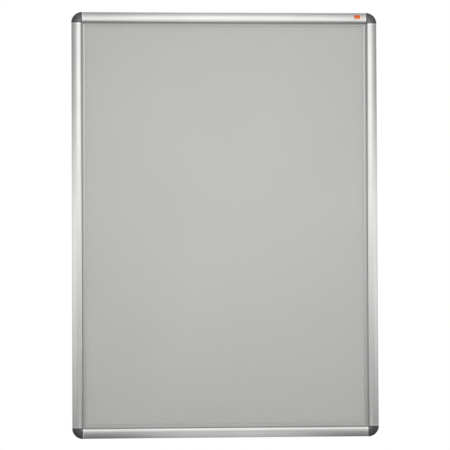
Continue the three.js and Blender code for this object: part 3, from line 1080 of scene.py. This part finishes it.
class POSTER_OT_badge(bpy.types.Operator):
    """The plain badge, which follows the dome of the top rail"""

    bl_idname = "poster_frame.badge"
    bl_label = "Plain badge"

    def execute(self, context):
        sizes, colours = sizes_and_colours(context)
        origin, inward, along, length = side_axes("top", sizes)
        path = self.path(sizes)
        run = np.concatenate(((0,), np.cumsum(np.linalg.norm(np.diff(path, axis=0), axis=1))))
        half_run = run[-1] / 2
        points, faces, uvs = plate(
            sizes.badge_length / MM / 2,
            half_run,
            BADGE_THICKNESS / 2,
            BADGE_ROUNDING,
            BADGE_CELLS,
            BADGE_CORNER_PULL,
        )
        here = points[..., 1] + half_run
        slope = np.gradient(path, run, axis=0)
        slope /= np.linalg.norm(slope, axis=1)[:, None]
        reach = BADGE_THICKNESS / 2 + points[..., 2]
        u = np.interp(here, run, path[:, 0]) - reach * np.interp(here, run, slope[:, 1])
        v = np.interp(here, run, path[:, 1]) + reach * np.interp(here, run, slope[:, 0])
        middle = -length / 2 + sizes.badge_setback + sizes.badge_length / 2
        s = (middle + points[..., 0] * MM)[..., None]
        world = origin + MM * (u[..., None] * inward + v[..., None] * FRONT) + s * along
        piece = solid_object("badge_tile", world, faces, uvs, (satin_acrylic(colours),), merge=True)
        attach(piece, "rail_top")
        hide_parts("badge_plain")
        return {"FINISHED"}

    def path(self, sizes):
        """Line under the badge: the dome's two quarter ellipses about its crest, each wider by the
        gap. In millimetres."""
        crest = sizes.depth / MM + BADGE_GAP
        step = step_top(sizes)
        reach_out = CREST_INSET - DOME_INSET + BADGE_GAP
        reach_in = STEP_INSET - CREST_INSET + BADGE_GAP
        near = 180 - math.degrees(math.acos((CREST_INSET - BADGE_INSETS[0]) / reach_out))
        far = math.degrees(math.acos((BADGE_INSETS[1] - CREST_INSET) / reach_in))
        outer = (CREST_INSET, DOME_FOOT)
        inner = (CREST_INSET, step)
        return np.concatenate(
            (
                ellipse_arc(outer, reach_out, crest - DOME_FOOT, near, 90, 30),
                ellipse_arc(inner, reach_in, crest - step, 90, far, 8)[1:],
            )
        )


# Studio

# Lengths in metres, turns in degrees
FLOOR_DROP = 1.6
FLOOR_HALF = 5.0
FLOOR_GLOW = 0.6
CAMERA_PLACE = (-0.2546, -4.1531, -0.1054)
CAMERA_TURN = (91.4406, 0.2491, -3.4974)
CAMERA_LENS = 160.0
CAMERA_SENSOR = 36.0
CAMERA_REACH = 50.0
WORLD_LEVEL = 0.62
LAMP_PLACE = (0.02, -1.1, 0.11)
LAMP_WIDTH = 0.5
LAMP_POWER = 8.4
TENT_RADIUS = 1.2
TENT_SPAN = 125
TENT_POINTS = (41, 65)
TENT_LEVEL = 1.8
TENT_MIDDLE_X = 0.06
TENT_SIDE_REACH = (0.15, 0.95)
# The tent's glow up the middle and up its sides, as (share of its height, level)
TENT_MIDDLE = (
    (0.0, 0.46), (0.16, 0.52), (0.25, 0.58), (0.3, 0.43), (0.35, 0.43), (0.41, 0.57),
    (0.5, 0.77), (0.6, 0.93), (0.7, 1.02), (0.82, 0.99), (0.91, 0.6), (1.0, 0.5),
)  # fmt: skip
TENT_SIDES = (
    (0.0, 0.2), (0.25, 0.33), (0.32, 0.56), (0.38, 0.7), (0.44, 0.83), (0.5, 0.83),
    (0.56, 0.72), (0.65, 0.37), (1.0, 0.33),
)  # fmt: skip
# Dark cloths low and high to both sides of the middle, and all round beside the frame: two
# directions, each with the places where the cloth begins and is full, and how much it darkens
TENT_CLOTHS = (
    ("aside", 0.15, 0.27, "Z", 0.05, -0.9, 0.6),
    ("aside", 0.12, 0.3, "Z", 0.48, 0.62, 0.25),
    ("Y", -0.5, -0.1, "Y", -2.0, -1.0, 0.15),
)


class POSTER_OT_studio(bpy.types.Operator):
    """Floor, light tent, lamp, world and the camera at the photograph's angle"""

    bl_idname = "poster_frame.studio"
    bl_label = "Studio"

    def execute(self, context):
        scene = context.scene
        scene.view_settings.view_transform = "Standard"
        self.floor(scene, sizes_and_colours(context)[1])
        self.tent(scene)
        self.world(scene)
        self.lamp(scene)
        camera = bpy.data.cameras.new("camera")
        camera.lens = CAMERA_LENS
        camera.sensor_width = CAMERA_SENSOR
        camera.clip_end = CAMERA_REACH
        viewer = bpy.data.objects.new("camera", camera)
        viewer.location = CAMERA_PLACE
        viewer.rotation_euler = [math.radians(turn) for turn in CAMERA_TURN]
        scene.collection.objects.link(viewer)
        scene.camera = viewer
        return {"FINISHED"}

    def floor(self, scene, colours):
        """Flat floor under the hung frame. The camera adds its own share of white, so only a
        shadow shows on it."""
        level = cad_low[2] - FLOOR_DROP
        flat = np.array(((-1, -1), (1, -1), (1, 1), (-1, 1))) * FLOOR_HALF
        mesh = bpy.data.meshes.new("floor")
        mesh.from_pydata(np.column_stack((flat, np.full(4, level))), [], [(0, 1, 2, 3)])
        material, tree, shader = new_material("floor_paint_matt")
        spot = add_node(tree, "ShaderNodeTexCoord")
        # The paint's cloudiness is about 500 mm across
        cloud = add_node(
            tree,
            "ShaderNodeTexNoise",
            {"Scale": 1 / (500 * MM)},
            {"Vector": spot.outputs["Object"]},
        )
        tone = add_node(
            tree,
            "ShaderNodeMix",
            {6: toned(colours.floor, 0.98), 7: colours.floor},
            {0: cloud},
            data_type="RGBA",
        )
        path = add_node(tree, "ShaderNodeLightPath")
        seen = add_node(
            tree,
            "ShaderNodeMath",
            links={0: path.outputs["Is Camera Ray"], 1: path.outputs["Is Glossy Ray"]},
            operation="ADD",
        )
        share = add_node(tree, "ShaderNodeMapRange", {"To Max": FLOOR_GLOW}, {"Value": seen})
        set_sockets(
            shader,
            {"Roughness": 0.9, "Emission Color": (1, 1, 1, 1)},
            {"Base Color": tone, "Emission Strength": share},
        )
        mesh.materials.append(material)
        ground = bpy.data.objects.new("floor", mesh)
        scene.collection.objects.link(ground)
        ground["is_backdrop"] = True

    def tent(self, scene):
        """Sphere about the frame, open behind it, that only glossy rays see: at an angle p from the
        front axis and a turn t about it, (sin p cos t, -cos p, sin p sin t). It glows in front,
        and is dim above, below and aside."""
        spans = (np.linspace(0, span, count) for span, count in zip((TENT_SPAN, 360), TENT_POINTS))
        wide, turn = np.meshgrid(*map(np.radians, spans), indexing="ij")
        points = TENT_RADIUS * np.stack(
            (np.sin(wide) * np.cos(turn), -np.cos(wide), np.sin(wide) * np.sin(turn)), -1
        )
        mesh = bpy.data.meshes.new("light_tent")
        mesh.from_pydata(points.reshape(-1, 3), [], grid_quads(*TENT_POINTS, False).tolist())
        material, tree, shader = new_material("tent_cloth_lit")
        tree.nodes.remove(shader)
        spot = add_node(tree, "ShaderNodeTexCoord")
        part = add_node(tree, "ShaderNodeSeparateXYZ", links={0: spot.outputs["Object"]})
        height = add_node(
            tree,
            "ShaderNodeMapRange",
            {"From Min": -TENT_RADIUS, "From Max": TENT_RADIUS},
            {"Value": part.outputs["Z"]},
        )
        middle, sides = (
            add_node(tree, "ShaderNodeValToRGB", links={0: height}, stops=stops)
            for stops in (TENT_MIDDLE, TENT_SIDES)
        )
        centred = add_node(
            tree, "ShaderNodeMath", {1: TENT_MIDDLE_X}, {0: part.outputs["X"]}, operation="SUBTRACT"
        )
        aside = add_node(tree, "ShaderNodeMath", links={0: centred}, operation="ABSOLUTE")
        share = add_node(
            tree,
            "ShaderNodeMapRange",
            {"From Min": TENT_SIDE_REACH[0], "From Max": TENT_SIDE_REACH[1]},
            {"Value": aside},
            interpolation_type="SMOOTHSTEP",
        )
        shade = add_node(
            tree, "ShaderNodeMix", links={0: share, 6: middle, 7: sides}, data_type="RGBA"
        )
        directions = {"aside": aside, "Y": part.outputs["Y"], "Z": part.outputs["Z"]}
        for *spread, depth in TENT_CLOTHS:
            spans = [
                add_node(
                    tree,
                    "ShaderNodeMapRange",
                    {"From Min": start, "From Max": stop},
                    {"Value": directions[direction]},
                )
                for direction, start, stop in (spread[:3], spread[3:])
            ]
            cover = add_node(
                tree, "ShaderNodeMath", links={0: spans[0], 1: spans[1]}, operation="MULTIPLY"
            )
            shade = add_node(
                tree,
                "ShaderNodeMix",
                {7: (1 - depth, 1 - depth, 1 - depth, 1)},
                {0: cover, 6: shade},
                data_type="RGBA",
                blend_type="MULTIPLY",
            )
        light = add_node(tree, "ShaderNodeEmission", {"Strength": TENT_LEVEL}, {"Color": shade})
        set_sockets(tree.nodes["Material Output"], links={"Surface": light})
        material.cycles.emission_sampling = "NONE"
        mesh.materials.append(material)
        tent = bpy.data.objects.new("light_tent", mesh)
        scene.collection.objects.link(tent)
        for ray in ("camera", "diffuse", "transmission", "volume_scatter", "shadow"):
            setattr(tent, f"visible_{ray}", False)
        tent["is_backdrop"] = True

    def world(self, scene):
        """White for camera, glossy and transmission rays, and a grey fill for diffuse ones."""
        world = bpy.data.worlds.new("studio")
        world.use_nodes = True
        scene.world = world
        tree = world.node_tree
        fill = tree.nodes["Background"]
        set_sockets(fill, {"Color": (1, 1, 1, 1), "Strength": WORLD_LEVEL})
        white = add_node(tree, "ShaderNodeBackground", {"Color": (1, 1, 1, 1), "Strength": 1.0})
        path = add_node(tree, "ShaderNodeLightPath")
        direct = add_node(
            tree,
            "ShaderNodeMath",
            links={0: path.outputs["Is Camera Ray"], 1: path.outputs["Is Glossy Ray"]},
            operation="MAXIMUM",
        )
        seen = add_node(
            tree,
            "ShaderNodeMath",
            links={0: direct, 1: path.outputs["Is Transmission Ray"]},
            operation="MAXIMUM",
        )
        mixed = add_node(tree, "ShaderNodeMixShader", links={0: seen, 1: fill, 2: white})
        set_sockets(tree.nodes["World Output"], links={"Surface": mixed})

    def lamp(self, scene):
        """One soft box before the frame, a little above its middle."""
        data = bpy.data.lights.new("soft_box", "AREA")
        data.shape = "DISK"
        data.size = LAMP_WIDTH
        data.energy = LAMP_POWER
        box = bpy.data.objects.new("soft_box", data)
        box.location = LAMP_PLACE
        box.rotation_euler = (math.pi / 2, 0, 0)
        box.visible_glossy = False
        box.visible_camera = False
        scene.collection.objects.link(box)


OPERATORS = (
    POSTER_OT_base_rails,
    POSTER_OT_snap_rails,
    POSTER_OT_leaf_springs,
    POSTER_OT_corner_caps,
    POSTER_OT_corner_blocks,
    POSTER_OT_sheets,
    POSTER_OT_badge,
    POSTER_OT_studio,
)


class POSTER_PT_panel(bpy.types.Panel):
    """Sizes, colours and one button for each group of pieces"""

    bl_idname = "POSTER_PT_panel"
    bl_label = "Poster Frame"
    bl_space_type = "VIEW_3D"
    bl_region_type = "UI"
    bl_category = "Poster Frame"

    def draw(self, context):
        for group in sizes_and_colours(context):
            box = self.layout.box()
            for name in group.__annotations__:
                box.prop(group, name)
        for operator in OPERATORS:
            self.layout.operator(operator.bl_idname)


CLASSES = (PosterFrameSizes, PosterFrameColours, *OPERATORS, POSTER_PT_panel)


def register():
    for item in CLASSES:
        bpy.utils.register_class(item)
    bpy.types.Scene.poster_frame_sizes = PointerProperty(type=PosterFrameSizes)
    bpy.types.Scene.poster_frame_colours = PointerProperty(type=PosterFrameColours)


def unregister():
    del bpy.types.Scene.poster_frame_colours
    del bpy.types.Scene.poster_frame_sizes
    for item in reversed(CLASSES):
        bpy.utils.unregister_class(item)


def main():
    """Registers the add-on and makes every group of pieces."""
    register()
    for operator in OPERATORS:
        group, name = operator.bl_idname.split(".")
        getattr(getattr(bpy.ops, group), name)()


if __name__ == "__main__":
    main()
